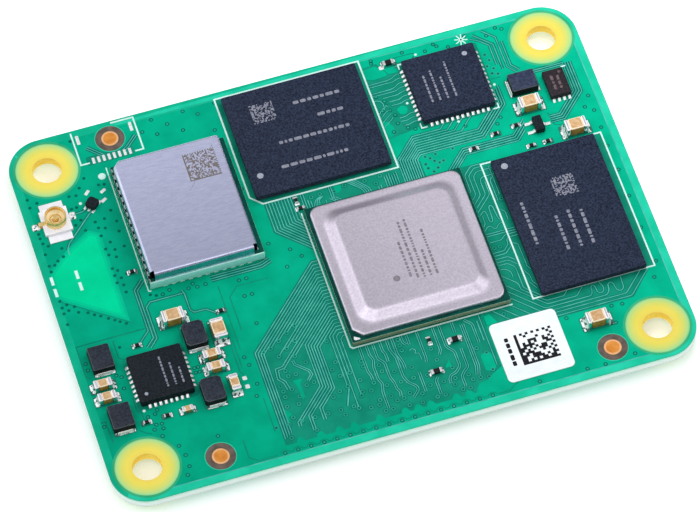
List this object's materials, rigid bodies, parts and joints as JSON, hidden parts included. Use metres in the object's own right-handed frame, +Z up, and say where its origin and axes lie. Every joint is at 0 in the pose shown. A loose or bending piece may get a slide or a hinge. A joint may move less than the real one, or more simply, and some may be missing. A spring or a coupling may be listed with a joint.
{
  "type": "system on module",
  "caption": "Rounded green circuit board module with a lidded processor, memory chips, a shielded radio and passives on top, fixing holes in the corners and board-to-board connectors below.",
  "frame": {"origin": "middle of the board's outline, at the plane that the two connector housings stand on", "axes": "+X along the board's long side, +Y across it towards the flash memory, +Z up from the connectors to the chips"},
  "size_m": [0.055, 0.04, 0.0043],
  "materials": {
    "board": "glossy green solder mask over glass laminate",
    "laminate": "sawn laminate edge",
    "lid_metal": "satin nickel-plated stamping",
    "silicon": "polished silicon",
    "thermal_pad": "matt grey filler",
    "solder": "bright solder",
    "mould_black": "fine matt mould compound",
    "radio_laminate": "translucent green laminate",
    "can_metal": "satin shield sheet",
    "inductor_black": "pressed ferrite, matt",
    "capacitor_ceramic": "fired ceramic",
    "tin": "bright tin plate",
    "resistor_black": "glazed top",
    "gold": "gold plate",
    "white_plastic": "white moulding",
    "label_paper": "matt white label",
    "connector_plastic": "fine matt moulding",
    "crystal_ceramic": "matt fired ceramic"
  },
  "bodies": {
    "root": {"circuit_board": "board", "soc_substrate": "laminate", "soc_lid": "lid_metal", "soc_die": "silicon", "thermal_interface": "thermal_pad", "soc_solder_balls": "solder", "flash_package": "mould_black", "flash_solder_balls": "solder", "memory_package": "mould_black", "memory_solder_balls": "solder", "radio_substrate": "radio_laminate", "radio_solder_lands": "solder", "radio_shield_can": "can_metal", "radio_chip": "mould_black", "radio_crystal": "can_metal", "radio_passives": "capacitor_ceramic", "network_chip_body": "mould_black", "network_chip_terminals": "solder", "power_chip_body": "mould_black", "power_chip_terminals": "solder", "inductor_bodies": "inductor_black", "inductor_terminals": "tin", "bulk_capacitor_bodies": "capacitor_ceramic", "bulk_capacitor_ends": "tin", "input_capacitor_bodies": "capacitor_ceramic", "input_capacitor_ends": "tin", "small_capacitor_body": "capacitor_ceramic", "small_capacitor_ends": "tin", "chip_resistor_bodies": "resistor_black", "chip_resistor_ends": "tin", "tiny_resistor_bodies": "resistor_black", "tiny_resistor_ends": "tin", "boot_memory_body": "mould_black", "boot_memory_leads": "tin", "transistor_body": "mould_black", "transistor_leads": "tin", "radio_switch_body": "mould_black", "radio_switch_lands": "solder", "antenna_connector_base": "white_plastic", "antenna_connector_shell": "gold", "antenna_connector_pin": "gold", "data_label": "label_paper", "front_connector_housing": "connector_plastic", "front_connector_contacts": "gold", "rear_connector_housing": "connector_plastic", "rear_connector_contacts": "gold", "connector_hold_downs": "tin", "decoupling_capacitor_bodies": "capacitor_ceramic", "decoupling_capacitor_ends": "tin", "crystal_cases": "crystal_ceramic", "crystal_lids": "can_metal"}
  },
  "joints": []
}
